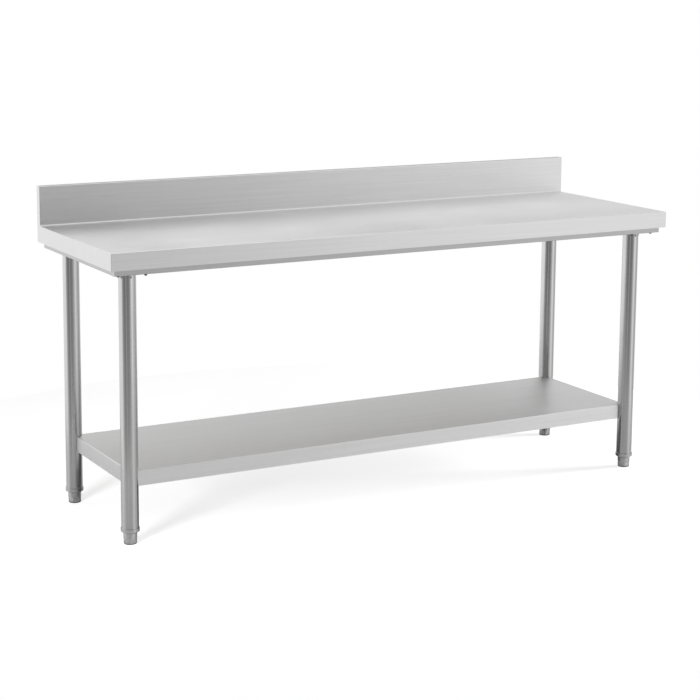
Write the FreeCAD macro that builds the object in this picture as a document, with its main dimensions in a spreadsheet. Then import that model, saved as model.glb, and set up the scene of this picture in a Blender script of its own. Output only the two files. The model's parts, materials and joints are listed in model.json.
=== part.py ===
import FreeCAD, Part
import math
import os

import Sketcher

# Stainless work table with an upstand and a height-adjustable undershelf on four screw feet.
# Millimetres. X runs along the table, Y from front to back, Z up. The origin is on the floor,
# under the middle of the worktop. Every size comes from the "Sizes" sheet.

DOC = FreeCAD.newDocument("work_table")

SIZES = {
    "table_length": 1900.0, "table_depth": 600.0, "worktop_height": 850.0,
    "edge_height": 50.0, "upstand_height": 120.0, "upstand_depth": 25.0,
    "sheet": 1.2, "fold_radius": 2.5, "cove_radius": 6.0, "end_radius": 1.0,
    "lip_width": 15.0, "core_thickness": 16.0, "core_gap": 0.5,
    "frame_drop": 17.2, "frame_wall": 1.5, "frame_flange": 30.0, "frame_gap": 0.3,
    "hat_width": 60.0, "hat_crown": 36.0, "hat_height": 25.0, "hat_wall": 1.2, "hat_spacing": 450.0,
    "leg_inset_side": 78.0, "leg_inset_front": 79.0, "leg_inset_back": 72.0,
    "leg_radius": 25.0, "leg_wall": 1.2, "leg_bottom": 47.5,
    "plate_half": 55.0, "plate_thickness": 3.0, "spigot_gap": 0.1, "spigot_wall": 3.0,
    "spigot_length": 60.0, "bolt_along": 35.0, "bolt_forward": 50.0, "bolt_aside": 46.0,
    "bolt_corner": 44.0, "bolt_radius": 2.5, "bolt_hole_radius": 2.8, "bolt_head_size": 4.62,
    "bolt_head_height": 3.5, "washer_radius": 5.0, "washer_thickness": 1.0, "nut_height": 4.0,
    "bolt_point": 1.0,
    "grub_radius": 4.0, "grub_hole_radius": 4.2, "grub_length": 6.4, "grub_proud": 0.8,
    "grub_drop": 13.5, "key_size": 2.3, "key_depth": 3.0,
    "grub_hole_depth": 10.0, "tube_hole_depth": 8.0,
    "collar_radius": 27.0, "collar_height": 9.5, "collar_chamfer": 4.5, "collar_neck": 1.0,
    "collar_lip": 1.0, "collar_neck_radius": 24.4, "plug_gap": 0.1, "plug_height": 61.5,
    "bore_gap": 0.3, "bore_depth": 51.0,
    "barrel_radius": 19.6, "barrel_height": 66.0, "barrel_chamfer": 1.2,
    "stud_radius": 8.0, "stud_gap": 0.08, "stud_length": 56.0,
    "flat_distance": 17.9, "flat_shoulder": 10.5, "flat_rise": 6.0, "flat_half_width": 8.8,
    "pad_height": 2.4, "pad_radius": 18.8, "pad_chamfer": 1.2, "pad_gap": 0.3,
    "pin_radius": 5.0, "pin_gap": 0.08, "pin_height": 8.0, "pin_space": 1.0,
    "shelf_height": 210.0, "shelf_edge": 46.0, "shelf_sheet": 1.2, "shelf_lip": 12.0,
    "notch_gap": 1.4, "stiffener_inset": 110.0, "stiffener_gap": 2.0,
    "saddle_gap": 0.4, "saddle_wall": 3.0, "saddle_height": 34.0, "saddle_drop": 5.0,
    "tab_length": 30.0, "tab_wall": 3.0, "clamp_radius": 4.0, "clamp_hole_radius": 4.3,
    "clamp_gap": 0.2, "clamp_nut_size": 7.5, "clamp_nut_height": 6.5, "clamp_head_height": 5.3,
    "clamp_thread": 6.0, "clamp_hole_depth": 5.0,
}


class Size:
    """A number together with the sheet expression that gives it."""

    def __init__(self, value, text):
        self.value = float(value)
        self.text = text

    def joined(self, sign, other, value):
        return Size(value, f"({self.text} {sign} {as_size(other).text})")

    def __add__(self, other):
        return self.joined("+", other, self.value + as_size(other).value)

    def __sub__(self, other):
        return self.joined("-", other, self.value - as_size(other).value)

    def __mul__(self, other):
        return self.joined("*", other, self.value * as_size(other).value)

    def __truediv__(self, other):
        return self.joined("/", other, self.value / as_size(other).value)

    def __radd__(self, other):
        return as_size(other) + self

    def __rsub__(self, other):
        return as_size(other) - self

    def __rmul__(self, other):
        return as_size(other) * self


def as_size(number):
    return number if isinstance(number, Size) else Size(number, repr(float(number)))


class Sheet:
    """Every size as an attribute, such as S.table_length."""

    def __init__(self):
        sheet = DOC.addObject("Spreadsheet::Sheet", "Sizes")
        for row, (alias, value) in enumerate(SIZES.items(), start=1):
            sheet.set(f"A{row}", alias.replace("_", " "))
            sheet.set(f"B{row}", str(value))
            sheet.setAlias(f"B{row}", alias)
            setattr(self, alias, Size(value, f"Sizes.{alias}"))


S = Sheet()
DOC.recompute()
NODES = {}
LEAST_CUT = 1.0     # mm3, the least that a pocket has to take away


def bind(thing, **values):
    """Tie properties to the sheet; a double underscore in a name stands for a dot."""
    for name, value in values.items():
        thing.setExpression(name.replace("__", "."), as_size(value).text)


def place(thing, x=0, y=0, z=0):
    bind(thing, Placement__Base__x=x, Placement__Base__y=y, Placement__Base__z=z)


def turn(thing, axis, degrees):
    thing.Placement = FreeCAD.Placement(FreeCAD.Vector(), FreeCAD.Rotation(FreeCAD.Vector(*axis), degrees))


def node(name, thing):
    thing.Label = name
    NODES[name] = thing
    return thing


# ---------------------------------------------------------------- sketches and features

def new_body(name):
    return DOC.addObject("PartDesign::Body", f"{name}_body")


def origin_part(body, role):
    return next(f for f in body.Origin.OriginFeatures if f.Role == role)


def new_sketch(body, role, offset=0):
    """An empty sketch on one of the body's own planes, moved along its normal."""
    sketch = body.newObject("Sketcher::SketchObject", "Sketch")
    sketch.AttachmentSupport = (origin_part(body, role), [""])
    sketch.MapMode = "FlatFace"
    bind(sketch, AttachmentOffset__Base__z=offset)
    return sketch


def pin_point(sketch, shape, point, x, y):
    """Hold a point of a shape at (x, y), by distances from the sketch's origin."""
    for kind, axis, value in (("DistanceX", -2, as_size(x)), ("DistanceY", -1, as_size(y))):
        if value.value == 0:
            sketch.addConstraint(Sketcher.Constraint("PointOnObject", shape, point, axis))
            continue
        rule = sketch.addConstraint(Sketcher.Constraint(kind, -1, 1, shape, point, value.value))
        sketch.renameConstraint(rule, f"{kind}_{shape}_{point}")
        sketch.setExpression(f"Constraints.{kind}_{shape}_{point}", value.text)


def polygon(sketch, corners):
    """A closed outline through the corners, each an (x, y) pair of sizes."""
    points = [FreeCAD.Vector(as_size(x).value, as_size(y).value, 0) for x, y in corners]
    first = sketch.GeometryCount
    for i, start in enumerate(points):
        sketch.addGeometry(Part.LineSegment(start, points[(i + 1) % len(points)]), False)
    for i in range(len(points)):
        after = first + (i + 1) % len(points)
        sketch.addConstraint(Sketcher.Constraint("Coincident", first + i, 2, after, 1))
    for i, (x, y) in enumerate(corners):
        pin_point(sketch, first + i, 1, x, y)
    return sketch


def rectangle(sketch, left, low, right, high):
    return polygon(sketch, [(left, low), (right, low), (right, high), (left, high)])


def circle(sketch, x, y, radius):
    centre = FreeCAD.Vector(as_size(x).value, as_size(y).value, 0)
    shape = sketch.addGeometry(Part.Circle(centre, FreeCAD.Vector(0, 0, 1), radius.value), False)
    pin_point(sketch, shape, 3, x, y)
    rule = sketch.addConstraint(Sketcher.Constraint("Radius", shape, radius.value))
    sketch.renameConstraint(rule, f"Radius_{shape}")
    sketch.setExpression(f"Constraints.Radius_{shape}", radius.text)
    return sketch


def pad(body, sketch, length):
    feature = body.newObject("PartDesign::Pad", "Pad")
    feature.Profile = sketch
    bind(feature, Length=length)
    DOC.recompute()
    return feature


def pocket(body, sketch, length):
    """Cut along the sketch's normal, and make sure that something was cut."""
    before = body.Shape.Volume
    feature = body.newObject("PartDesign::Pocket", "Pocket")
    feature.Profile = sketch
    feature.Reversed = True
    bind(feature, Length=length)
    DOC.recompute()
    if body.Shape.Volume > before - LEAST_CUT:
        raise RuntimeError(f"{body.Name}: a pocket cut nothing")
    return feature


def fillet(body, base, radius, chosen):
    """Round the edges of a feature for which chosen(middle of the edge, its direction) holds."""
    names = []
    for i, edge in enumerate(base.Shape.Edges, start=1):
        middle = edge.valueAt((edge.FirstParameter + edge.LastParameter) / 2)
        way = edge.Vertexes[-1].Point - edge.Vertexes[0].Point
        if chosen(middle, way):
            names.append(f"Edge{i}")
    feature = body.newObject("PartDesign::Fillet", "Fillet")
    feature.Base = (base, names)
    bind(feature, Radius=radius)
    DOC.recompute()
    return feature


def revolution(body, sketch):
    feature = body.newObject("PartDesign::Revolution", "Revolution")
    feature.Profile = sketch
    feature.ReferenceAxis = (sketch, ["V_Axis"])
    feature.Angle = 360
    DOC.recompute()
    return feature


# ---------------------------------------------------------------- primitives and booleans

def box(length, width, height, x=0, y=0, z=0):
    thing = DOC.addObject("Part::Box", "Box")
    bind(thing, Length=length, Width=width, Height=height)
    place(thing, x, y, z)
    return thing


def cylinder(radius, height, x=0, y=0, z=0):
    thing = DOC.addObject("Part::Cylinder", "Cylinder")
    bind(thing, Radius=radius, Height=height)
    place(thing, x, y, z)
    return thing


def hexagon(corner_radius, height, x=0, y=0, z=0):
    thing = DOC.addObject("Part::Prism", "Prism")
    thing.Polygon = 6
    bind(thing, Circumradius=corner_radius, Height=height)
    place(thing, x, y, z)
    return thing


def cut(base, *tools):
    for tool in tools:
        thing = DOC.addObject("Part::Cut", "Cut")
        thing.Base = base
        thing.Tool = tool
        base = thing
    return base


def fuse(*things):
    thing = DOC.addObject("Part::MultiFuse", "Fusion")
    thing.Shapes = list(things)
    return thing


def compound(things):
    thing = DOC.addObject("Part::Compound", "Group")
    thing.Links = list(things)
    return thing


# ---------------------------------------------------------------- places

HALF_LENGTH = S.table_length / 2
HALF_DEPTH = S.table_depth / 2
EDGE_BOTTOM = S.worktop_height - S.edge_height
FRAME_BOTTOM = EDGE_BOTTOM - S.frame_drop
CORE_BOTTOM = S.worktop_height - S.sheet - S.core_thickness
FRAME_INSET = S.lip_width + S.frame_gap
FRAME_HEIGHT = CORE_BOTTOM - FRAME_BOTTOM
LEG_X = HALF_LENGTH - S.leg_inset_side
LEG_FRONT = HALF_DEPTH - S.leg_inset_front
LEG_BACK = HALF_DEPTH - S.leg_inset_back
LEG_TOP = FRAME_BOTTOM + S.frame_wall
GRUB_TURNS = (0, 60)


class Corner:
    """One corner of the table: its name, the signs of its X and Y, and its leg's axis."""

    def __init__(self, end, side, sign_x, sign_y):
        self.name = f"{side}_{end}"
        self.sign_x = sign_x
        self.sign_y = sign_y
        self.x = sign_x * LEG_X
        self.y = LEG_BACK if sign_y > 0 else -1 * LEG_FRONT

    def outward(self, turn_degrees):
        """The direction, in degrees, that is turned from straight out towards the table's end."""
        straight = 90 * self.sign_y
        return straight - turn_degrees * self.sign_x * self.sign_y


CORNERS = [
    Corner("left", "front", -1, -1),
    Corner("right", "front", 1, -1),
    Corner("left", "back", -1, 1),
    Corner("right", "back", 1, 1),
]


# ---------------------------------------------------------------- worktop

def on_end(point, half_thickness=0.01):
    return point.x < half_thickness or point.x > S.table_length.value - half_thickness


def worktop_sheet():
    """One sheet folded into a pan: top, four edges with inward lips, and a boxed upstand."""
    body = new_body("worktop_sheet")
    depth, edge, top = S.table_depth, S.edge_height, S.edge_height + S.upstand_height
    front = depth - S.upstand_depth
    outline = [(0, 0), (depth, 0), (depth, top), (front, top), (front, edge), (0, edge)]
    solid = pad(body, polygon(new_sketch(body, "YZ_Plane"), outline), S.table_length)

    def along(point, way):
        return abs(way.x) > 1 and point.z > 1

    def in_cove(point, way):
        return along(point, way) and abs(point.y - front.value) < 1 and point.z < top.value - 1

    solid = fillet(body, solid, S.fold_radius, lambda p, w: along(p, w) and not in_cove(p, w))
    solid = fillet(body, solid, S.cove_radius, in_cove)
    fillet(body, solid, S.end_radius, lambda p, w: on_end(p) and p.z > S.end_radius.value)

    inner = [(S.sheet, S.sheet), (depth - S.sheet, S.sheet), (depth - S.sheet, top - S.sheet),
             (front + S.sheet, top - S.sheet), (front + S.sheet, edge - S.sheet),
             (S.sheet, edge - S.sheet)]
    hollow = polygon(new_sketch(body, "YZ_Plane", S.sheet), inner)
    pocket(body, hollow, S.table_length - 2 * S.sheet)
    lip = S.lip_width
    mouth = rectangle(new_sketch(body, "XY_Plane"), lip, lip, S.table_length - lip, depth - lip)
    pocket(body, mouth, S.sheet)
    ends = rectangle(new_sketch(body, "YZ_Plane"), front + S.sheet, edge, depth - S.sheet, top - S.sheet)
    pocket(body, ends, S.table_length)
    place(body, -1 * HALF_LENGTH, -1 * HALF_DEPTH, EDGE_BOTTOM)
    node("worktop_sheet", body)


def upstand_end_caps():
    """Plates welded flush into the open ends of the upstand."""
    width = S.upstand_depth - 2 * S.sheet
    y = HALF_DEPTH - S.upstand_depth + S.sheet
    for name, x in (("left", -1 * HALF_LENGTH), ("right", HALF_LENGTH - S.sheet)):
        cap = box(S.sheet, width, S.upstand_height - S.sheet, x, y, S.worktop_height)
        node(f"upstand_end_cap_{name}", cap)


def core_board():
    inset = S.sheet + S.core_gap
    board = box(S.table_length - 2 * inset, S.table_depth - 2 * inset, S.core_thickness,
                inset - HALF_LENGTH, inset - HALF_DEPTH, CORE_BOTTOM)
    node("core_board", board)


# ---------------------------------------------------------------- underframe

def long_rail(name, sign_y):
    """A channel with closed ends, open towards the middle of the table."""
    body = new_body(name)
    length = S.table_length - 2 * FRAME_INSET
    block = rectangle(new_sketch(body, "XY_Plane"), 0, 0, length, S.frame_flange)
    solid = pad(body, block, FRAME_HEIGHT)
    outer = 0.0 if sign_y < 0 else S.frame_flange.value
    fillet(body, solid, S.frame_wall, lambda p, w: abs(w.x) > 1 and abs(p.y - outer) < 0.01)
    low = S.frame_wall if sign_y < 0 else as_size(0)
    high = S.frame_flange - (0 if sign_y < 0 else S.frame_wall)
    wall = S.frame_wall
    void = rectangle(new_sketch(body, "XY_Plane", wall), wall, low, length - wall, high)
    pocket(body, void, FRAME_HEIGHT - 2 * wall)
    y = FRAME_INSET - HALF_DEPTH if sign_y < 0 else HALF_DEPTH - FRAME_INSET - S.frame_flange
    place(body, FRAME_INSET - HALF_LENGTH, y, FRAME_BOTTOM)
    node(name, body)


def side_rail(name, sign_x):
    """A channel between the long rails, open towards the middle of the table."""
    body = new_body(name)
    flange, wall, tall = S.frame_flange, S.frame_wall, FRAME_HEIGHT
    outline = [(0, 0), (flange, 0), (flange, wall), (wall, wall),
               (wall, tall - wall), (flange, tall - wall), (flange, tall), (0, tall)]
    if sign_x > 0:
        outline = [(flange - x, z) for x, z in outline]
    gap = FRAME_INSET + flange
    length = S.table_depth - 2 * gap
    solid = pad(body, polygon(new_sketch(body, "XZ_Plane"), outline), length)
    outer = 0.0 if sign_x < 0 else flange.value
    fillet(body, solid, wall, lambda p, w: abs(w.y) > 1 and abs(p.x - outer) < 0.01)
    x = FRAME_INSET - HALF_LENGTH if sign_x < 0 else HALF_LENGTH - FRAME_INSET - flange
    place(body, x, HALF_DEPTH - gap, FRAME_BOTTOM)
    node(name, body)


def hat_outline(width, crown, height, wall):
    """The section of a folded hat channel that hangs below the surface it stiffens."""
    brim = (width - crown) / 2
    return [(0, height), (0, height - wall), (brim, height - wall), (brim, 0),
            (brim + crown, 0), (brim + crown, height - wall), (width, height - wall), (width, height),
            (brim + crown - wall, height), (brim + crown - wall, wall), (brim + wall, wall),
            (brim + wall, height)]


def cross_channels():
    """Hat channels under the board, between the long rails."""
    length = S.table_depth - 2 * (FRAME_INSET + S.frame_flange)
    for name, step in (("left", -1), ("centre", 0), ("right", 1)):
        body = new_body(f"cross_channel_{name}")
        outline = hat_outline(S.hat_width, S.hat_crown, S.hat_height, S.hat_wall)
        pad(body, polygon(new_sketch(body, "XZ_Plane"), outline), length)
        place(body, step * S.hat_spacing - S.hat_width / 2, length / 2, CORE_BOTTOM - S.hat_height)
        node(f"cross_channel_{name}", body)


# ---------------------------------------------------------------- leg sockets and their fasteners

def bolt_places(corner):
    """Three bolts: one on each rail beside the leg, and one in the frame's corner."""
    offsets = [(-1 * S.bolt_along, S.bolt_forward), (S.bolt_aside, -1 * S.bolt_along),
               (S.bolt_corner, S.bolt_corner)]
    return [(corner.x + corner.sign_x * dx, corner.y + corner.sign_y * dy) for dx, dy in offsets]


def radial_cylinder(radius, length, corner, degrees, start, z):
    """A cylinder that points away from a leg's axis, starting at a distance from it."""
    heading = math.radians(degrees)
    thing = cylinder(radius, length)
    turn(thing, (-math.sin(heading), math.cos(heading), 0), 90)
    place(thing, corner.x + math.cos(heading) * start, corner.y + math.sin(heading) * start, z)
    return thing


def leg_socket(corner):
    """A plate inside the frame's corner with a short tube that the leg is pushed over."""
    half = S.plate_half
    plate = box(2 * half, 2 * half, S.plate_thickness, corner.x - half, corner.y - half, LEG_TOP)
    outer = S.leg_radius - S.leg_wall - S.spigot_gap
    tube_z = LEG_TOP - S.spigot_length
    tube = cylinder(outer, S.spigot_length + S.plate_thickness, corner.x, corner.y, tube_z)
    bore = cylinder(outer - S.spigot_wall, S.spigot_length, corner.x, corner.y, tube_z)
    holes = [cylinder(S.bolt_hole_radius, S.plate_thickness, x, y, LEG_TOP)
             for x, y in bolt_places(corner)]
    holes += [radial_cylinder(S.grub_radius, S.leg_radius, corner, corner.outward(a),
                              S.leg_radius - S.grub_hole_depth, LEG_TOP - S.grub_drop) for a in GRUB_TURNS]
    node(f"leg_socket_{corner.name}", cut(fuse(plate, tube), bore, *holes))


def fastener(kind, x, y):
    """A bolt, washer or nut of the sockets, at its place under the table."""
    plate_top = LEG_TOP + S.plate_thickness
    washer_z = FRAME_BOTTOM - S.washer_thickness
    nut_z = washer_z - S.nut_height
    if kind == "bolts":
        shank_z = nut_z - S.bolt_point
        shank = cylinder(S.bolt_radius, plate_top - shank_z, x, y, shank_z)
        return fuse(shank, hexagon(S.bolt_head_size, S.bolt_head_height, x, y, plate_top))
    if kind == "washers":
        disc = cylinder(S.washer_radius, S.washer_thickness, x, y, washer_z)
        return cut(disc, cylinder(S.bolt_hole_radius, S.washer_thickness, x, y, washer_z))
    block = hexagon(S.bolt_head_size, S.nut_height, x, y, nut_z)
    return cut(block, cylinder(S.bolt_radius, S.nut_height, x, y, nut_z))


def socket_fasteners():
    for kind in ("bolts", "washers", "nuts"):
        pieces = [fastener(kind, x, y) for corner in CORNERS for x, y in bolt_places(corner)]
        node(f"socket_{kind}", compound(pieces))


def rail_bolt_holes(name):
    """Cut the bolt holes through the lower flange of one rail."""
    rail = NODES[name]
    shape_box = rail.Shape.BoundBox
    places = [(x, y) for corner in CORNERS for x, y in bolt_places(corner)
              if shape_box.XMin < x.value < shape_box.XMax and shape_box.YMin < y.value < shape_box.YMax]
    holes = [cylinder(S.bolt_hole_radius, S.frame_wall, x, y, FRAME_BOTTOM) for x, y in places]
    rail.Label = f"{name}_blank"
    node(name, cut(rail, *holes))


def leg_grub_screws():
    """Socket set screws through the top of each leg, which hold it on its socket."""
    screws = []
    for corner in CORNERS:
        for angle in GRUB_TURNS:
            heading = corner.outward(angle)
            outer = S.leg_radius + S.grub_proud
            z = LEG_TOP - S.grub_drop
            screw = radial_cylinder(S.grub_radius, S.grub_length, corner, heading, outer - S.grub_length, z)
            key = radial_cylinder(S.key_size, S.key_depth, corner, heading, outer - S.key_depth, z)
            screws.append(cut(screw, key))
    node("leg_grub_screws", compound(screws))


# ---------------------------------------------------------------- legs and feet

def leg_tube(corner):
    height = LEG_TOP - S.leg_bottom
    outer = cylinder(S.leg_radius, height, corner.x, corner.y, S.leg_bottom)
    bore = cylinder(S.leg_radius - S.leg_wall, height, corner.x, corner.y, S.leg_bottom)
    holes = [radial_cylinder(S.grub_hole_radius, S.leg_radius, corner, corner.outward(a),
                             S.leg_radius - S.tube_hole_depth, LEG_TOP - S.grub_drop) for a in GRUB_TURNS]
    node(f"leg_tube_{corner.name}", cut(outer, bore, *holes))


def revolved(name, corner, outline, z):
    body = new_body(name)
    revolution(body, polygon(new_sketch(body, "XZ_Plane"), outline))
    place(body, corner.x, corner.y, z)
    return body


def foot_collar(corner):
    """A plug pressed into the tube, with a ring under the tube's end, a bore for the barrel
    and a bridge with the thread for its stud."""
    ring, neck = S.collar_radius, S.collar_neck_radius
    plug = S.leg_radius - S.leg_wall - S.plug_gap
    bore = S.barrel_radius + S.bore_gap
    thread = S.stud_radius + S.stud_gap
    slope = S.collar_chamfer
    shoulder = slope + S.collar_height
    mouth = shoulder + S.collar_neck
    top = mouth + S.plug_height
    outline = [(bore, 0), (bore + S.collar_lip, 0), (ring, slope), (ring, shoulder), (neck, shoulder),
               (neck, mouth), (plug, mouth), (plug, top), (thread, top), (thread, S.bore_depth),
               (bore, S.bore_depth)]
    body = revolved("foot_collar", corner, outline, S.leg_bottom - mouth)
    node(f"foot_collar_{corner.name}", body)


def door(sketch, half_width, shoulder, rise):
    """A flat with an arched top, standing on the sketch's horizontal axis."""
    top = shoulder + rise
    left = FreeCAD.Vector(0, 0, 0)
    right = FreeCAD.Vector(2 * half_width.value, 0, 0)
    left_top = FreeCAD.Vector(0, shoulder.value, 0)
    right_top = FreeCAD.Vector(2 * half_width.value, shoulder.value, 0)
    crown = FreeCAD.Vector(half_width.value, top.value, 0)
    sketch.addGeometry(Part.LineSegment(left, right), False)
    sketch.addGeometry(Part.LineSegment(right, right_top), False)
    sketch.addGeometry(Part.Arc(right_top, crown, left_top), False)
    sketch.addGeometry(Part.LineSegment(left_top, left), False)
    for first, last, other, start in ((0, 2, 1, 1), (1, 2, 2, 1), (2, 2, 3, 1), (3, 2, 0, 1)):
        sketch.addConstraint(Sketcher.Constraint("Coincident", first, last, other, start))
    pin_point(sketch, 0, 1, 0, 0)
    pin_point(sketch, 1, 1, 2 * half_width, 0)
    pin_point(sketch, 2, 1, 2 * half_width, shoulder)
    pin_point(sketch, 3, 1, 0, shoulder)
    half, up = half_width.value, rise.value
    radius = (half ** 2 + up ** 2) / (2 * up)
    rule = sketch.addConstraint(Sketcher.Constraint("Radius", 2, radius))
    sketch.renameConstraint(rule, "Crown")
    formula = (half_width * half_width + rise * rise) / (2 * rise)
    sketch.setExpression("Constraints.Crown", formula.text)
    return sketch


def foot_barrel(corner):
    """The turning part of the foot: a barrel with six flats, its stud, and a hole for the pad's pin."""
    wide, stud, chamfer = S.barrel_radius, S.stud_radius, S.barrel_chamfer
    pin_hole, pin_top = S.pin_radius + S.pin_gap, S.pin_height + S.pin_space
    tall = S.barrel_height - S.pad_height
    tip = tall + S.stud_length
    outline = [(pin_hole, 0), (wide - chamfer, 0), (wide, chamfer), (wide, tall - chamfer),
               (wide - chamfer, tall), (stud, tall), (stud, tip - chamfer), (stud - chamfer, tip),
               (0, tip), (0, pin_top), (pin_hole, pin_top)]
    body = revolved("foot_barrel", corner, outline, S.pad_height)
    sketch = door(new_sketch(body, "XZ_Plane", S.flat_distance), S.flat_half_width,
                  S.flat_shoulder, S.flat_rise)
    bind(sketch, AttachmentOffset__Base__x=-1 * S.flat_half_width)
    flat = pocket(body, sketch, S.barrel_radius)
    pattern = body.newObject("PartDesign::PolarPattern", "Flats")
    pattern.Originals = [flat]
    pattern.Axis = (origin_part(body, "Z_Axis"), [""])
    pattern.Angle = 360
    pattern.Occurrences = 6
    body.Tip = pattern
    DOC.recompute()
    node(f"foot_barrel_{corner.name}", body)


def foot_pad(corner):
    """The glide that stays still on the floor while the barrel turns on its pin."""
    wide, chamfer, tall = S.pad_radius, S.pad_chamfer, S.pad_height - S.pad_gap
    outline = [(0, 0), (wide - chamfer, 0), (wide, chamfer), (wide, tall), (S.pin_radius, tall),
               (S.pin_radius, tall + S.pin_height), (0, tall + S.pin_height)]
    node(f"foot_pad_{corner.name}", revolved("foot_pad", corner, outline, 0))


# ---------------------------------------------------------------- undershelf

SHELF_LENGTH = 2 * LEG_X
SHELF_DEPTH = LEG_FRONT + LEG_BACK
SHELF_BOTTOM = S.shelf_height - S.shelf_edge


def shelf_panel():
    """A folded pan whose corners are cut round the legs."""
    body = new_body("shelf_panel")
    length, depth, wall, lip = SHELF_LENGTH, SHELF_DEPTH, S.shelf_sheet, S.shelf_lip
    block = rectangle(new_sketch(body, "XY_Plane"), 0, 0, length, depth)
    solid = pad(body, block, S.shelf_edge)
    fillet(body, solid, S.fold_radius, lambda p, w: p.z > S.shelf_edge.value - 0.01)
    hollow = rectangle(new_sketch(body, "XY_Plane", wall), wall, wall, length - wall, depth - wall)
    pocket(body, hollow, S.shelf_edge - 2 * wall)
    mouth = rectangle(new_sketch(body, "XY_Plane"), lip, lip, length - lip, depth - lip)
    pocket(body, mouth, wall)
    notches = new_sketch(body, "XY_Plane")
    for x in (0, length):
        for y in (0, depth):
            circle(notches, x, y, S.leg_radius + S.notch_gap)
    pocket(body, notches, S.shelf_edge)
    place(body, -1 * LEG_X, -1 * LEG_FRONT, SHELF_BOTTOM)
    node("shelf_panel", body)


def shelf_stiffeners():
    """Hat channels along the underside of the shelf."""
    length = SHELF_LENGTH - 2 * (S.shelf_sheet + S.stiffener_gap)
    top = S.shelf_height - S.shelf_sheet
    low = S.stiffener_inset - LEG_FRONT
    high = LEG_BACK - S.stiffener_inset - S.hat_width
    for name, y in (("front", low), ("back", high)):
        body = new_body(f"shelf_stiffener_{name}")
        outline = hat_outline(S.hat_width, S.hat_crown, S.hat_height, S.hat_wall)
        pad(body, polygon(new_sketch(body, "YZ_Plane"), outline), length)
        place(body, -1 * length / 2, y, top - S.hat_height)
        node(f"shelf_stiffener_{name}", body)


def inward(corner):
    """The direction, in degrees, from a leg to the middle of the shelf's corner."""
    return math.degrees(math.atan2(-corner.sign_y, -corner.sign_x))


def saddle_z():
    return S.shelf_height - S.shelf_sheet - S.saddle_drop - S.saddle_height


def shelf_corner_bracket(corner):
    """A quarter of a ring round the leg, with a tab along each flange of the shelf."""
    z, tall = saddle_z(), S.saddle_height
    inner = S.leg_radius + S.saddle_gap
    outer = inner + S.saddle_wall
    ring = cylinder(outer, tall, corner.x, corner.y, z)
    skin = S.shelf_sheet
    reach = outer + S.tab_length
    x0 = corner.x if corner.sign_x < 0 else corner.x - reach
    y0 = corner.y if corner.sign_y < 0 else corner.y - reach
    shift_x = skin if corner.sign_x < 0 else -1 * skin
    shift_y = skin if corner.sign_y < 0 else -1 * skin
    quarter = box(reach, reach, tall, x0 + shift_x, y0 + shift_y, z)
    saddle = DOC.addObject("Part::Common", "Common")
    saddle.Base = ring
    saddle.Tool = quarter
    tab_x = box(reach - inner, S.tab_wall, tall,
                corner.x + inner if corner.sign_x < 0 else corner.x - reach,
                corner.y + skin if corner.sign_y < 0 else corner.y - skin - S.tab_wall, z)
    tab_y = box(S.tab_wall, reach - inner, tall,
                corner.x + skin if corner.sign_x < 0 else corner.x - skin - S.tab_wall,
                corner.y + inner if corner.sign_y < 0 else corner.y - reach, z)
    bore = cylinder(inner, tall, corner.x, corner.y, z)
    hole = radial_cylinder(S.clamp_hole_radius, S.leg_radius, corner, inward(corner),
                           inner - S.clamp_hole_depth, z + tall / 2)
    node(f"shelf_bracket_{corner.name}", cut(fuse(saddle, tab_x, tab_y), bore, hole))


def radial_hexagon(corner_radius, length, corner, degrees, start, z):
    heading = math.radians(degrees)
    thing = hexagon(corner_radius, length)
    turn(thing, (-math.sin(heading), math.cos(heading), 0), 90)
    place(thing, corner.x + math.cos(heading) * start, corner.y + math.sin(heading) * start, z)
    return thing


def shelf_clamps():
    """A screw through a nut on each bracket, which presses against the leg."""
    screws, nuts = [], []
    z = saddle_z() + S.saddle_height / 2
    tip = S.leg_radius + S.clamp_gap
    nut_start = S.leg_radius + S.saddle_gap + S.saddle_wall
    head_start = nut_start + S.clamp_nut_height + S.clamp_thread
    for corner in CORNERS:
        way = inward(corner)
        shank = radial_cylinder(S.clamp_radius, head_start - tip, corner, way, tip, z)
        head = radial_hexagon(S.clamp_nut_size, S.clamp_head_height, corner, way, head_start, z)
        screws.append(fuse(shank, head))
        block = radial_hexagon(S.clamp_nut_size, S.clamp_nut_height, corner, way, nut_start, z)
        hole = radial_cylinder(S.clamp_radius, S.clamp_nut_height, corner, way, nut_start, z)
        nuts.append(cut(block, hole))
    node("shelf_clamp_screws", compound(screws))
    node("shelf_clamp_nuts", compound(nuts))


# ---------------------------------------------------------------- the whole table

def build():
    worktop_sheet()
    upstand_end_caps()
    core_board()
    long_rail("frame_rail_front", -1)
    long_rail("frame_rail_back", 1)
    side_rail("frame_rail_left", -1)
    side_rail("frame_rail_right", 1)
    cross_channels()
    DOC.recompute()
    for name in ("front", "back", "left", "right"):
        rail_bolt_holes(f"frame_rail_{name}")
    socket_fasteners()
    leg_grub_screws()
    shelf_panel()
    shelf_stiffeners()
    shelf_clamps()
    for corner in CORNERS:
        leg_socket(corner)
        leg_tube(corner)
        foot_collar(corner)
        foot_barrel(corner)
        foot_pad(corner)
        shelf_corner_bracket(corner)


def write():
    DOC.recompute()
    for thing in DOC.Objects:
        if {"Invalid", "Error"} & set(thing.State):
            raise RuntimeError(f"{thing.Label}: {thing.State}")
    os.makedirs("parts", exist_ok=True)
    for name, thing in NODES.items():
        shape = thing.Shape
        if shape.isNull() or not shape.isValid() or not shape.Solids:
            raise RuntimeError(f"{name}: bad shape")
        shape.exportStep(f"parts/{name}.step")
        print(f"{name}: {len(shape.Solids)} solid(s), {shape.Volume / 1000:.1f} cm3")


build()
write()
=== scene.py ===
import json
import math

import bmesh
import bpy
from mathutils import Matrix, Vector


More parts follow.
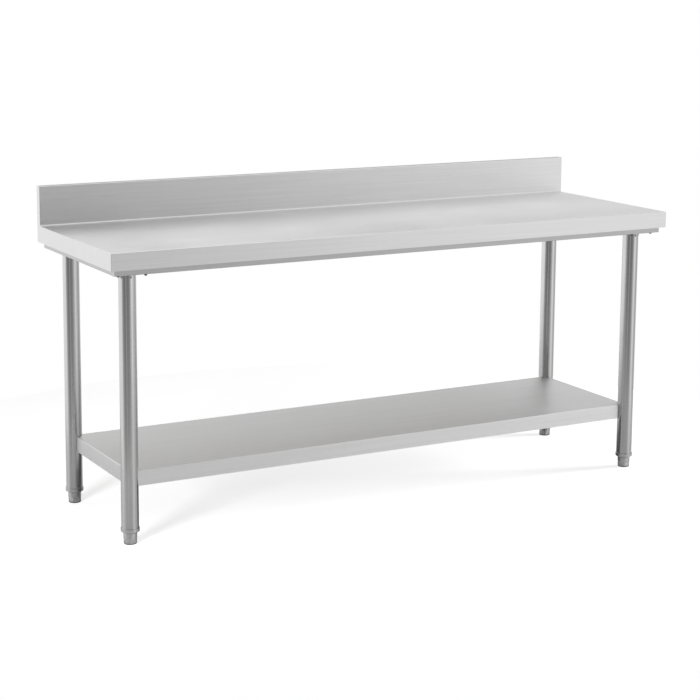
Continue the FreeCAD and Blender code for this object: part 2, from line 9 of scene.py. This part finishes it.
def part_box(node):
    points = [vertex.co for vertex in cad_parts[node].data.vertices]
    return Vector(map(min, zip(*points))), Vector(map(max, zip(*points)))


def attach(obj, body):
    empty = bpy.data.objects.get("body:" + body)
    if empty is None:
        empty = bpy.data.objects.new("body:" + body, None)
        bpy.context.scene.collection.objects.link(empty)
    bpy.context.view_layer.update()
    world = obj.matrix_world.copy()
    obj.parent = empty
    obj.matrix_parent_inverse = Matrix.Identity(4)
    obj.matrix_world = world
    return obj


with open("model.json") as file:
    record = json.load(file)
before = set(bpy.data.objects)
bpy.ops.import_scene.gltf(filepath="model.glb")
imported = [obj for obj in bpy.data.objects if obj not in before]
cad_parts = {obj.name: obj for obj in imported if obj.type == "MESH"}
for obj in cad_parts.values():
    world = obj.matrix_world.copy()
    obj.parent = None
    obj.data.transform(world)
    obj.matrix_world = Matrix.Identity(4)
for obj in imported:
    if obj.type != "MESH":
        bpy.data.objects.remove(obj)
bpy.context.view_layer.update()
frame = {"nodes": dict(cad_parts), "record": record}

# Looks of the stainless work table. Metres, in the CAD frame: X along the table, Y from front to
# back, Z up, with the floor at Z = 0. The CAD nodes keep their shapes and get procedural materials.

CORNERS = ("front_left", "front_right", "back_left", "back_right")


# ---------------------------------------------------------------- node trees

def add(tree, kind, values=None, **settings):
    """A new node. values sets its inputs, each a number, a colour or the output to link from."""
    node = tree.nodes.new(kind)
    for name, value in settings.items():
        setattr(node, name, value)
    for name, value in (values or {}).items():
        socket = node.inputs[name]
        if isinstance(value, bpy.types.NodeSocket):
            tree.links.new(value, socket)
        else:
            socket.default_value = value
    return node


def maths(tree, operation, first, second=0.0):
    return add(tree, "ShaderNodeMath", {0: first, 1: second}, operation=operation).outputs[0]


def spread(tree, value, low, high, new_low, new_high, smooth=False):
    """Map a value from one range to another, and stop at its ends."""
    kind = "SMOOTHSTEP" if smooth else "LINEAR"
    return add(tree, "ShaderNodeMapRange",
               {"Value": value, "From Min": low, "From Max": high, "To Min": new_low, "To Max": new_high},
               interpolation_type=kind).outputs["Result"]


def noise(tree, place, scale, detail, rough=0.5):
    return add(tree, "ShaderNodeTexNoise",
               {"Vector": place, "Scale": scale, "Detail": detail, "Roughness": rough}).outputs["Fac"]


NOISE_RANGE = (0.3, 0.7)      # where nearly all the values of a noise lie


def toned(tree, pattern, at_low, at_high):
    """Turn a noise into values between at_low and at_high."""
    return spread(tree, pattern, *NOISE_RANGE, at_low, at_high)


def stretched(tree, place, scales):
    """A place scaled by a different number along each axis."""
    return add(tree, "ShaderNodeVectorMath", {0: place, 1: scales}, operation="MULTIPLY").outputs[0]


def grey(tree, level):
    """A colour with the same level in all three channels."""
    return add(tree, "ShaderNodeCombineColor", {"Red": level, "Green": level, "Blue": level}).outputs[0]


def bumped(tree, height, distance, strength, normal=None):
    """A normal tilted by a pattern that stands distance high. normal is the one to start from."""
    values = {"Height": height, "Distance": distance, "Strength": strength}
    if normal is not None:
        values["Normal"] = normal
    return add(tree, "ShaderNodeBump", values).outputs["Normal"]


def new_material(name, metallic, **sockets):
    """A material with one Principled shader. Returns it, its tree, its shader and its coordinates."""
    material = bpy.data.materials.new(name)
    material.use_nodes = True
    tree = material.node_tree
    shader = tree.nodes["Principled BSDF"]
    shader.inputs["Metallic"].default_value = metallic
    for socket, value in sockets.items():
        shader.inputs[socket.replace("_", " ")].default_value = value
    where = add(tree, "ShaderNodeTexCoord")
    return material, tree, shader, where


def finish_with(tree, shader, level, roughness, normal):
    """Link a grey level, a roughness and a bumped normal to a shader."""
    tree.links.new(grey(tree, level), shader.inputs["Base Color"])
    tree.links.new(roughness, shader.inputs["Roughness"])
    tree.links.new(normal, shader.inputs["Normal"])


# ---------------------------------------------------------------- materials

LINE = 900.0                # fine grinding lines: the noise's scale across the grain
STREAK = 120.0              # wider bands of grinding, across the grain
ALONG = 2.5                 # both, along the grain
QUARTER_TURN = 0.25         # sets the reflections' stretch across the tangent
FACING_X = (0.6, 0.8)       # the X part of the normal, from a long face to a folded end
FACING_UP = (0.96, 0.99)    # the Z part of the normal, from a bend to a flat top
RISE = 0.01                 # how far below a height faces start to count as above it


def on_ends(tree, where):
    """1 on faces that look along X, which are the folded ends of a sheet, and 0 elsewhere."""
    normal = add(tree, "ShaderNodeSeparateXYZ", {0: where.outputs["Normal"]})
    return spread(tree, maths(tree, "ABSOLUTE", normal.outputs["X"]), *FACING_X, 0.0, 1.0)


def grain_scales(tree, ends, across):
    """Grinding lines run along X, and down the folded ends of the sheet."""
    down = spread(tree, ends, 0.0, 1.0, across, ALONG)
    return add(tree, "ShaderNodeCombineXYZ", {"X": ALONG, "Y": across, "Z": down}).outputs[0]


def grain_way(tree, ends):
    """The direction of the grinding lines."""
    flat = maths(tree, "SUBTRACT", 1.0, ends)
    return add(tree, "ShaderNodeCombineXYZ", {"X": flat, "Z": ends}).outputs[0]


def on_top(tree, where, above):
    """1 on faces that look up and are higher than above, and 0 elsewhere."""
    normal = add(tree, "ShaderNodeSeparateXYZ", {0: where.outputs["Normal"]})
    place = add(tree, "ShaderNodeSeparateXYZ", {0: where.outputs["Object"]})
    upward = spread(tree, normal.outputs["Z"], *FACING_UP, 0.0, 1.0)
    high = spread(tree, place.outputs["Z"], above - RISE, above, 0.0, 1.0)
    return maths(tree, "MULTIPLY", upward, high)


def ground_steel(name, tone, rough, stretch, painted_top_shade, above):
    """Stainless sheet ground along its length: fine lines, wider bands, and faint handling marks.
    tone is its grey level, rough its roughness and stretch how far the grain draws reflections out.
    Its upward faces above a height are darker by a painted shade of the given depth."""
    material, tree, shader, where = new_material(name, 1.0)
    place = where.outputs["Object"]
    ends = on_ends(tree, where)
    shader.inputs["Anisotropic"].default_value = stretch
    shader.inputs["Anisotropic Rotation"].default_value = QUARTER_TURN
    tree.links.new(grain_way(tree, ends), shader.inputs["Tangent"])
    lines = noise(tree, stretched(tree, place, grain_scales(tree, ends, LINE)),
                  scale=1.0, detail=3.0, rough=0.65)
    bands = noise(tree, stretched(tree, place, grain_scales(tree, ends, STREAK)), scale=1.0, detail=2.0)
    marks = noise(tree, place, scale=3.2, detail=4.0, rough=0.6)
    level = toned(tree, lines, tone - 0.035, tone + 0.025)
    level = maths(tree, "ADD", level, toned(tree, bands, -0.018, 0.018))
    level = maths(tree, "ADD", level, spread(tree, marks, 0.35, 0.65, -0.012, 0.012))
    # Painted shade: upward faces above the given height are made darker.
    level = maths(tree, "SUBTRACT", level, spread(tree, on_top(tree, where, above), 0.0, 1.0, 0.0, painted_top_shade))
    roughness = toned(tree, lines, rough - 0.03, rough + 0.05)
    roughness = maths(tree, "ADD", roughness, spread(tree, marks, 0.4, 0.7, -0.02, 0.03))
    normal = bumped(tree, lines, distance=0.00006, strength=0.35)
    normal = bumped(tree, bands, distance=0.0001, strength=0.3, normal=normal)
    finish_with(tree, shader, level, roughness, normal)
    return material


def dull_steel():
    """Cold-rolled sheet that was only folded: cloudy and duller."""
    material, tree, shader, where = new_material("Folded_steel", 1.0)
    place = where.outputs["Object"]
    cloud = noise(tree, place, scale=14.0, detail=5.0, rough=0.6)
    rolled = noise(tree, stretched(tree, place, (6.0, 420.0, 420.0)), scale=1.0, detail=2.0)
    level = maths(tree, "ADD", toned(tree, cloud, 0.55, 0.63), toned(tree, rolled, -0.02, 0.02))
    roughness = toned(tree, cloud, 0.3, 0.4)
    normal = bumped(tree, rolled, distance=0.00005, strength=0.3)
    finish_with(tree, shader, level, roughness, normal)
    return material


def polished_tube():
    """Tube polished round and round, which draws every reflection out along it, over faint draw lines."""
    material, tree, shader, where = new_material("Polished_tube", 1.0, Anisotropic=0.9,
                                                 Anisotropic_Rotation=QUARTER_TURN)
    place = where.outputs["Object"]
    around = add(tree, "ShaderNodeVectorMath", {0: where.outputs["Normal"], 1: (0.0, 0.0, 1.0)},
                 operation="CROSS_PRODUCT").outputs[0]
    tree.links.new(around, shader.inputs["Tangent"])
    drawn = noise(tree, stretched(tree, place, (700.0, 700.0, 2.0)), scale=1.0, detail=2.0)
    patches = noise(tree, stretched(tree, place, (9.0, 9.0, 5.0)), scale=1.0, detail=4.0, rough=0.6)
    level = maths(tree, "ADD", toned(tree, drawn, 0.68, 0.74), spread(tree, patches, 0.35, 0.7, 0.01, -0.03))
    roughness = spread(tree, patches, 0.35, 0.7, 0.15, 0.19)
    normal = bumped(tree, drawn, distance=0.00004, strength=0.25)
    finish_with(tree, shader, level, roughness, normal)
    return material


def foot_metal():
    """Cast and turned feet: a grainy, mottled grey with turning lines."""
    material, tree, shader, where = new_material("Cast_foot_metal", 1.0)
    place = where.outputs["Object"]
    mottle = noise(tree, place, scale=160.0, detail=5.0, rough=0.7)
    turned = noise(tree, stretched(tree, place, (30.0, 30.0, 2200.0)), scale=1.0, detail=1.0)
    level = maths(tree, "ADD", toned(tree, mottle, 0.6, 0.86), toned(tree, turned, -0.03, 0.03))
    roughness = toned(tree, mottle, 0.28, 0.16)
    normal = bumped(tree, mottle, distance=0.0003, strength=0.35)
    normal = bumped(tree, turned, distance=0.00005, strength=0.3, normal=normal)
    finish_with(tree, shader, level, roughness, normal)
    return material


def plated(name, darkest, lightest):
    """Plated screws, nuts and washers: grainy, and duller where the plating is thin."""
    material, tree, shader, where = new_material(name, 1.0)
    grains = noise(tree, where.outputs["Object"], scale=900.0, detail=4.0, rough=0.6)
    level = toned(tree, grains, darkest, lightest)
    roughness = toned(tree, grains, 0.2, 0.34)
    finish_with(tree, shader, level, roughness, bumped(tree, grains, distance=0.0001, strength=0.3))
    return material


def moulded_plastic():
    """The dark glides that stand on the floor."""
    material, tree, shader, where = new_material("Moulded_plastic", 0.0, IOR=1.5)
    pits = noise(tree, where.outputs["Object"], scale=1200.0, detail=3.0)
    level = toned(tree, pits, 0.018, 0.032)
    roughness = toned(tree, pits, 0.45, 0.6)
    finish_with(tree, shader, level, roughness, bumped(tree, pits, distance=0.0001, strength=0.4))
    return material


def particle_board():
    """The board under the worktop: pressed chips of wood."""
    material, tree, shader, where = new_material("Particle_board", 0.0, IOR=1.45)
    place = where.outputs["Object"]
    wander = add(tree, "ShaderNodeTexNoise", {"Vector": place, "Scale": 60.0}).outputs["Color"]
    shift = stretched(tree, wander, (0.01, 0.01, 0.01))
    bent = add(tree, "ShaderNodeVectorMath", {0: place, 1: shift}, operation="ADD").outputs[0]
    chips = add(tree, "ShaderNodeTexVoronoi",
                {"Vector": stretched(tree, bent, (170.0, 260.0, 400.0)), "Scale": 1.0})
    tone = add(tree, "ShaderNodeSeparateColor", {0: chips.outputs["Color"]}).outputs["Red"]
    ramp = add(tree, "ShaderNodeValToRGB", {"Fac": tone})
    ramp.color_ramp.elements[0].color = (0.2, 0.115, 0.055, 1.0)
    ramp.color_ramp.elements[1].color = (0.55, 0.38, 0.21, 1.0)
    tree.links.new(ramp.outputs["Color"], shader.inputs["Base Color"])
    tree.links.new(spread(tree, tone, 0.0, 1.0, 0.7, 0.9), shader.inputs["Roughness"])
    normal = bumped(tree, chips.outputs["Distance"], distance=0.0004, strength=0.5)
    tree.links.new(normal, shader.inputs["Normal"])
    return material


def dress_nodes():
    """Give every CAD node the material of its slot. The undershelf's sheet and the socket bolts have
    their own. Returns the materials of the slots."""
    finishes = {
        # Painted shade on the upward faces above 0.9 m, along the top of the upstand.
        "sheet_steel": ground_steel("Ground_steel", tone=0.84, rough=0.31, stretch=0.65,
                                    painted_top_shade=0.3, above=0.9),
        "frame_steel": dull_steel(),
        "tube_steel": polished_tube(),
        "foot_metal": foot_metal(),
        "fastener_steel": plated("Zinc_plate", darkest=0.44, lightest=0.62),
        "glide_plastic": moulded_plastic(),
        "core": particle_board(),
    }
    for part in frame["record"]["subparts"]:
        mesh = frame["nodes"][part["node"]].data
        mesh.materials.clear()
        mesh.materials.append(finishes[part["material_slot"]])
    # The undershelf's copy has painted shade on its top, which lies above 0.2 m.
    shelf_steel = ground_steel("Ground_steel_shelf", tone=0.93, rough=0.38, stretch=0.8,
                               painted_top_shade=0.25, above=0.2)
    frame["nodes"]["shelf_panel"].data.materials[0] = shelf_steel
    # The socket bolts, washers and nuts get a much darker plate than the other fasteners.
    socket_fastener_plate = plated("Dark_socket_plate", darkest=0.05, lightest=0.11)
    for name in ("socket_bolts", "socket_washers", "socket_nuts"):
        frame["nodes"][name].data.materials[0] = socket_fastener_plate
    return finishes


# ---------------------------------------------------------------- welds and threads

DOWN = Vector((0.0, 0.0, -1.0))
SHEET = 0.0012             # thickness of the cross channels and of the shelf's stiffeners

BEAD_WIDTH = 0.005
BEAD_HEIGHT = 0.0013
BEAD_PITCH = 0.0016        # from one ripple to the next
BEAD_STEPS = 4             # in one ripple
BEAD_RIPPLE = 0.14         # how much thinner the bead gets between ripples
BEAD_ROUNDING = 0.5        # how long its rounded ends are, as a share of its width
BEAD_BLUNTNESS = 0.1       # how much of that is cut off
BEAD_SIDES = 12
CORNER_WELD_INSET = 0.002      # from the sides of a rail
CHANNEL_WELD_INSET = 0.001     # from the ends of a cross channel
CHANNEL_WELD_LENGTH = 0.011
TAB_WELD_WIDTH = 0.0038
TAB_WELD_INSET = 0.0024    # from the outside of the shelf's flange

SPOT_RADIUS = 0.003
SPOT_HEIGHT = 0.0004
SPOT_SPACING = 0.12
SPOT_INSET = 0.006         # from the sides of a stiffener
# From the root of a spot to its middle: shares of its radius and of its height.
SPOT_PROFILE = ((1.0, -0.5), (1.0, 0.2), (0.75, 0.9), (0.4, 1.0), (0.3, 0.5), (0.1, 0.4))

THREAD_PITCH = 0.00125
THREAD_DEPTH = 0.0004
THREAD_STEPS = 28          # in one turn
THREAD_HALF_WIDTH = 0.42   # of the ridge at its root, as a share of the pitch
THREAD_TAPER = 8           # the ridge rises over an eighth of its length at each end
CLAMP_SCREW_RADIUS = 0.004
CLAMP_THREAD_START = 0.0351    # from the leg's axis
CLAMP_THREAD_LENGTH = 0.0056


def weld_metal():
    """Bright weld with a dull, heat-marked skin."""
    material, tree, shader, where = new_material("Weld_metal", 1.0)
    skin = noise(tree, where.outputs["Object"], scale=420.0, detail=4.0, rough=0.6)
    level = toned(tree, skin, 0.34, 0.62)
    roughness = toned(tree, skin, 0.45, 0.25)
    finish_with(tree, shader, level, roughness, bumped(tree, skin, distance=0.0002, strength=0.4))
    return material


def skinned(mesh, rings):
    """Join rings of points into a tube and close its ends."""
    for first, second in zip(rings, rings[1:]):
        for i in range(len(first)):
            after = (i + 1) % len(first)
            mesh.faces.new((first[i], first[after], second[after], second[i]))
    mesh.faces.new(list(reversed(rings[0])))
    mesh.faces.new(rings[-1])


def bead(mesh, start, end, out, width=BEAD_WIDTH):
    """A rippled weld bead along the line from start to end, half sunk into the steel."""
    length = (end - start).length
    along = (end - start).normalized()
    side = along.cross(out)
    steps = round(BEAD_STEPS * length / BEAD_PITCH)
    rings = []
    for i in range(steps + 1):
        done = i / steps * length
        from_end = min(done, length - done) + BEAD_BLUNTNESS * width
        rounded = math.sqrt(min(1.0, from_end / (BEAD_ROUNDING * width)))
        size = rounded * (1 - BEAD_RIPPLE + BEAD_RIPPLE * abs(math.cos(math.pi * done / BEAD_PITCH)))
        ring = []
        for k in range(BEAD_SIDES):
            turn = 2 * math.pi * k / BEAD_SIDES
            offset = side * math.cos(turn) * width / 2 + out * math.sin(turn) * BEAD_HEIGHT
            ring.append(mesh.verts.new(start + along * done + offset * size))
        rings.append(ring)
    skinned(mesh, rings)


def spot(mesh, centre, out):
    """The low bump that a spot weld leaves."""
    side = out.orthogonal().normalized()
    other = out.cross(side)
    rings = []
    for share, rise in SPOT_PROFILE:
        ring = []
        for k in range(2 * BEAD_SIDES):
            turn = math.pi * k / BEAD_SIDES
            offset = (side * math.cos(turn) + other * math.sin(turn)) * SPOT_RADIUS * share
            ring.append(mesh.verts.new(centre + offset + out * SPOT_HEIGHT * rise))
        rings.append(ring)
    skinned(mesh, rings)


def thread(mesh, start, way, length, radius):
    """One ridge wound round a screw, with its root sunk into the shank."""
    side = way.orthogonal().normalized()
    other = way.cross(side)
    steps = round(THREAD_STEPS * length / THREAD_PITCH)
    rings = []
    for i in range(steps + 1):
        done = i / steps * length
        turn = 2 * math.pi * done / THREAD_PITCH
        outward = side * math.cos(turn) + other * math.sin(turn)
        middle = start + way * done
        root = outward * (radius - THREAD_DEPTH)
        crest = outward * (radius + THREAD_DEPTH * min(1.0, THREAD_TAPER * min(i, steps - i) / steps))
        half = way * THREAD_PITCH * THREAD_HALF_WIDTH
        rings.append([mesh.verts.new(middle + offset) for offset in (root - half, crest, root + half)])
    skinned(mesh, rings)


def finished_piece(name, mesh, body, material):
    """Make an object of a mesh and let it ride on a body."""
    mesh.normal_update()
    bmesh.ops.recalc_face_normals(mesh, faces=mesh.faces)
    data = bpy.data.meshes.new(name)
    mesh.to_mesh(data)
    mesh.free()
    data.shade_smooth()
    data.materials.append(material)
    piece = bpy.data.objects.new(name, data)
    bpy.context.scene.collection.objects.link(piece)
    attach(piece, body)


def frame_welds(material):
    """Beads across the rails' corners, and along the cross channels' brims where they meet the rails."""
    mesh = bmesh.new()
    for side in ("left", "right"):
        low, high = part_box(f"frame_rail_{side}")
        for y in (low[1], high[1]):
            bead(mesh, Vector((low[0] + CORNER_WELD_INSET, y, low[2])),
                 Vector((high[0] - CORNER_WELD_INSET, y, low[2])), DOWN)
    for place in ("left", "centre", "right"):
        low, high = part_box(f"cross_channel_{place}")
        underside = high[2] - SHEET
        for y in (low[1] + CHANNEL_WELD_INSET, high[1] - CHANNEL_WELD_INSET):
            for x in (low[0], high[0] - CHANNEL_WELD_LENGTH):
                bead(mesh, Vector((x, y, underside)), Vector((x + CHANNEL_WELD_LENGTH, y, underside)), DOWN)
    finished_piece("frame_welds", mesh, "table_frame", material)


def inward(corner):
    """Which way along X and along Y the middle of the table lies from a corner."""
    return (1.0 if "left" in corner else -1.0, 1.0 if "front" in corner else -1.0)


def bracket_welds(material):
    """A bead down the end of each tab of the shelf's corner brackets, in the angle with the flange."""
    mesh = bmesh.new()
    shelf_low, shelf_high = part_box("shelf_panel")
    for corner in CORNERS:
        low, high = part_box(f"shelf_bracket_{corner}")
        way_x, way_y = inward(corner)
        tab_x, wall_x = (high[0], shelf_low[0]) if way_x > 0 else (low[0], shelf_high[0])
        tab_y, wall_y = (high[1], shelf_low[1]) if way_y > 0 else (low[1], shelf_high[1])
        out = Vector((way_x, way_y, 0.0)).normalized()
        for x, y in ((tab_x, wall_y + way_y * TAB_WELD_INSET), (wall_x + way_x * TAB_WELD_INSET, tab_y)):
            bead(mesh, Vector((x, y, low[2] + BEAD_WIDTH / 2)), Vector((x, y, high[2] - BEAD_WIDTH / 2)),
                 out, TAB_WELD_WIDTH)
    finished_piece("shelf_bracket_welds", mesh, "undershelf", material)


def spot_welds(material):
    """A row of spot welds along both brims of each stiffener."""
    mesh = bmesh.new()
    for place in ("front", "back"):
        low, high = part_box(f"shelf_stiffener_{place}")
        count = round((high[0] - low[0]) / SPOT_SPACING)
        for i in range(count):
            x = low[0] + (i + 0.5) * (high[0] - low[0]) / count
            for y in (low[1] + SPOT_INSET, high[1] - SPOT_INSET):
                spot(mesh, Vector((x, y, high[2] - SHEET)), DOWN)
    finished_piece("stiffener_spot_welds", mesh, "undershelf", material)


def clamp_threads(material):
    """The thread between the nut and the head of each clamp screw."""
    mesh = bmesh.new()
    for corner in CORNERS:
        low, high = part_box(f"leg_tube_{corner}")
        middle = (Vector(low) + Vector(high)) / 2
        bracket_low, bracket_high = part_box(f"shelf_bracket_{corner}")
        middle.z = (bracket_low[2] + bracket_high[2]) / 2
        way = Vector((*inward(corner), 0.0)).normalized()
        thread(mesh, middle + way * CLAMP_THREAD_START, way, CLAMP_THREAD_LENGTH, CLAMP_SCREW_RADIUS)
    finished_piece("clamp_screw_threads", mesh, "undershelf", material)


# ---------------------------------------------------------------- studio

CAMERA_PLACE = Vector((-2.710, -4.801, 1.629))
CAMERA_YAW = math.radians(28.23)      # from +Y towards +X
CAMERA_PITCH = math.radians(8.92)     # downwards
CAMERA_ROLL = math.radians(0.30)
CAMERA_LENS = 92.21                   # mm
CAMERA_SENSOR = 36.0                  # mm
CAMERA_REACH = 100.0                  # to the furthest thing it draws
CAMERA_SHIFT = (0.0367, -0.1493)      # as shares of the frame's width


def camera():
    """A camera fitted to the photo, with a smaller shift than the lens of the photo had."""
    yaw, pitch, roll = CAMERA_YAW, CAMERA_PITCH, CAMERA_ROLL
    ahead = Vector((math.sin(yaw) * math.cos(pitch), math.cos(yaw) * math.cos(pitch), -math.sin(pitch)))
    level = Vector((math.cos(yaw), -math.sin(yaw), 0.0))
    upright = level.cross(ahead)
    right = level * math.cos(roll) + upright * math.sin(roll)
    up = upright * math.cos(roll) - level * math.sin(roll)
    data = bpy.data.cameras.new("Camera")
    data.sensor_width = CAMERA_SENSOR
    data.lens = CAMERA_LENS
    data.shift_x, data.shift_y = CAMERA_SHIFT
    data.clip_end = CAMERA_REACH
    thing = bpy.data.objects.new("Camera", data)
    thing.matrix_world = Matrix.Translation(CAMERA_PLACE) @ Matrix((right, up, -ahead)).transposed().to_4x4()
    bpy.context.scene.collection.objects.link(thing)
    bpy.context.scene.camera = thing


# What stands round the table in the studio, as (degrees from straight in front towards the right,
# brightness): white paper at the back and the left, and screens, gaps and the dark camera stand in
# front. FAR_FLOOR is what lies just below the horizon, and NEAR_FLOOR the more even floor further down.
# WALLS stand on the horizon, and the CEILING hangs above them.
FAR_FLOOR = [
    (-180, 1.0), (-118, 1.0), (-100, 0.9), (-90, 0.4), (-77, 0.22), (-58, 0.08), (-44, 0.2), (-39, 0.5),
    (-34, 0.16), (-21, 0.13), (-4, 0.2), (8, 0.3), (13, 0.65), (18, 0.5), (23, 0.62), (36, 1.0),
    (57, 0.76), (82, 0.48), (105, 0.62), (128, 0.75), (144, 1.0), (152, 0.6), (160, 0.3), (172, 0.8),
    (180, 1.0),
]
WALLS = [
    (-180, 0.7), (-160, 0.95), (-110, 1.0), (-90, 0.5), (-60, 0.2), (0, 0.05), (16, 0.2), (20, 0.3),
    (29, 0.62), (38, 1.0), (55, 0.8), (80, 0.35), (110, 0.4), (141, 0.45), (150, 0.15), (158, 0.28),
    (180, 0.6),
]
CEILING = [
    (-180, 1.3), (-110, 0.8), (-60, 0.4), (0, 0.15), (22, 0.2), (38, 1.0), (80, 0.6), (142, 1.05),
    (158, 1.3), (180, 1.3),
]
NEAR_FLOOR = [
    (-180, 0.5), (-155, 0.78), (-105, 0.8), (-80, 0.5), (-60, 0.4), (0, 0.42), (12, 0.5), (23, 0.65),
    (36, 0.9), (52, 0.55), (90, 0.45), (180, 0.5),
]
OVERHEAD = 0.95       # straight above the table
DIM = 0.35            # how much of the room reaches dull surfaces, which the softboxes light instead

# Where each of them takes over from what is next to it, as the Z part of the direction.
WALLS_FROM = (0.02, 0.25)
CEILING_FROM = (0.16, 0.5)
OVERHEAD_FROM = (0.75, 0.85)
NEAR_FLOOR_FROM = (-0.15, -0.3)


def round_the_room(tree, turn, levels):
    """A brightness for each heading. turn goes from 0 to 1 round the room."""
    ramp = add(tree, "ShaderNodeValToRGB", {"Fac": turn})
    stops = ramp.color_ramp.elements
    for degrees, level in levels[1:-1]:
        stops.new((degrees + 180) / 360)
    for stop, (degrees, level) in zip(stops, levels):
        stop.color = (level, level, level, 1.0)
    return ramp.outputs["Color"]


def blended(tree, factor, first, second):
    """The first colour where factor is 0, the second where it is 1."""
    return add(tree, "ShaderNodeMix", {"Factor": factor, "A": first, "B": second},
               data_type="RGBA").outputs["Result"]


def surroundings():
    """A studio that is bright at the back and broken up in front; the view itself sees white."""
    world = bpy.data.worlds.new("Studio")
    bpy.context.scene.world = world
    world.use_nodes = True
    tree = world.node_tree
    tree.nodes.clear()
    way = add(tree, "ShaderNodeSeparateXYZ", {0: add(tree, "ShaderNodeTexCoord").outputs["Generated"]})
    ahead = maths(tree, "MULTIPLY", way.outputs["Y"], -1.0)
    heading = maths(tree, "ARCTAN2", way.outputs["X"], ahead)
    turn = spread(tree, heading, -math.pi, math.pi, 0.0, 1.0)
    room = round_the_room(tree, turn, FAR_FLOOR)
    for heights, layer in (
        (WALLS_FROM, round_the_room(tree, turn, WALLS)),
        (CEILING_FROM, round_the_room(tree, turn, CEILING)),
        (OVERHEAD_FROM, (OVERHEAD, OVERHEAD, OVERHEAD, 1.0)),
        (NEAR_FLOOR_FROM, round_the_room(tree, turn, NEAR_FLOOR)),
    ):
        room = blended(tree, spread(tree, way.outputs["Z"], *heights, 0.0, 1.0, smooth=True), room, layer)
    path = add(tree, "ShaderNodeLightPath")
    strength = spread(tree, path.outputs["Is Diffuse Ray"], 0.0, 1.0, 1.0, DIM)
    round_about = add(tree, "ShaderNodeBackground", {"Color": room, "Strength": strength})
    paper = add(tree, "ShaderNodeBackground", {"Color": (1.0, 1.0, 1.0, 1.0), "Strength": 1.0})
    mixed = add(tree, "ShaderNodeMixShader",
                {0: path.outputs["Is Camera Ray"], 1: round_about.outputs[0], 2: paper.outputs[0]})
    add(tree, "ShaderNodeOutputWorld", {"Surface": mixed.outputs[0]})


SOFTBOXES = {"Left_softbox": (-3.3, -1.9, 0.85), "Right_softbox": (3.8, -0.9, 0.85)}
SOFTBOX_AIM = (0.0, 0.0, 0.1)
SOFTBOX_SIZE = 0.8
SOFTBOX_POWER = 170.0     # W


def soft_light(name, place):
    """A square softbox that metal doesn't mirror."""
    data = bpy.data.lights.new(name, "AREA")
    data.shape = "RECTANGLE"
    data.size = data.size_y = SOFTBOX_SIZE
    data.energy = SOFTBOX_POWER
    thing = bpy.data.objects.new(name, data)
    thing.location = place
    thing.rotation_euler = (Vector(SOFTBOX_AIM) - Vector(place)).to_track_quat("-Z", "Y").to_euler()
    thing.visible_glossy = False
    bpy.context.scene.collection.objects.link(thing)


FLOOR_RADIUS = 1.7
FLOOR_SIDES = 128
FLOOR_TONE = 0.5
FLOOR_SPECKLE = 0.01      # how far its tone strays
FLOOR_GLOW = 0.7          # to the view only
FLOOR_CLEARNESS = 0.5     # to polished metal, away from the table
SHADE_MARGIN = 0.1        # either side of the edge of the shade under the table
SHADE_DEPTH = 0.4         # how much darker polished metal sees the floor under the table


def beyond_the_table(tree, where):
    """0 on the floor under the middle of the undershelf, rising to 1 round its edges."""
    low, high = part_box("shelf_panel")
    place = add(tree, "ShaderNodeSeparateXYZ", {0: where.outputs["Object"]})
    away = [spread(tree, maths(tree, "ABSOLUTE", place.outputs[axis]),
                   half - SHADE_MARGIN, half + SHADE_MARGIN, 0.0, 1.0, smooth=True)
            for axis, half in (("X", high[0]), ("Y", high[1]))]
    return maths(tree, "MAXIMUM", *away)


def white_floor():
    """A disc of pale paper. The view sees it a little brighter than it is, so its shadows stay faint.
    Polished metal sees the studio through it, except in the shade under the table."""
    bpy.ops.mesh.primitive_circle_add(vertices=FLOOR_SIDES, radius=FLOOR_RADIUS, fill_type="NGON")
    floor = bpy.context.object
    floor.name = "Floor"
    material, tree, shader, where = new_material("Pale_floor", 0.0)
    speckle = noise(tree, where.outputs["Object"], scale=3.0, detail=2.0)
    path = add(tree, "ShaderNodeLightPath")
    mirrored = path.outputs["Is Glossy Ray"]
    beyond = beyond_the_table(tree, where)
    shade = maths(tree, "MULTIPLY", mirrored, spread(tree, beyond, 0.0, 1.0, SHADE_DEPTH, 0.0))
    level = toned(tree, speckle, FLOOR_TONE - FLOOR_SPECKLE, FLOOR_TONE + FLOOR_SPECKLE)
    finish_with(tree, shader, maths(tree, "SUBTRACT", level, shade),
                toned(tree, speckle, 0.8, 0.9), bumped(tree, speckle, distance=0.0001, strength=0.1))
    shader.inputs["Specular IOR Level"].default_value = 0.0
    shader.inputs["Emission Color"].default_value = (1.0, 1.0, 1.0, 1.0)
    glow = maths(tree, "MULTIPLY", path.outputs["Is Camera Ray"], FLOOR_GLOW)
    tree.links.new(glow, shader.inputs["Emission Strength"])
    clear = maths(tree, "MULTIPLY", mirrored, maths(tree, "MULTIPLY", beyond, FLOOR_CLEARNESS))
    through = add(tree, "ShaderNodeBsdfTransparent")
    mixed = add(tree, "ShaderNodeMixShader", {0: clear, 1: shader.outputs[0], 2: through.outputs[0]})
    tree.links.new(mixed.outputs[0], tree.nodes["Material Output"].inputs["Surface"])
    floor.data.materials.append(material)


def studio():
    bpy.context.scene.view_settings.view_transform = "Standard"
    surroundings()
    white_floor()
    for name, place in SOFTBOXES.items():
        soft_light(name, place)
    camera()


# ---------------------------------------------------------------- the table


finishes = dress_nodes()
weld = weld_metal()
frame_welds(weld)
bracket_welds(weld)
spot_welds(weld)
clamp_threads(finishes["fastener_steel"])
studio()
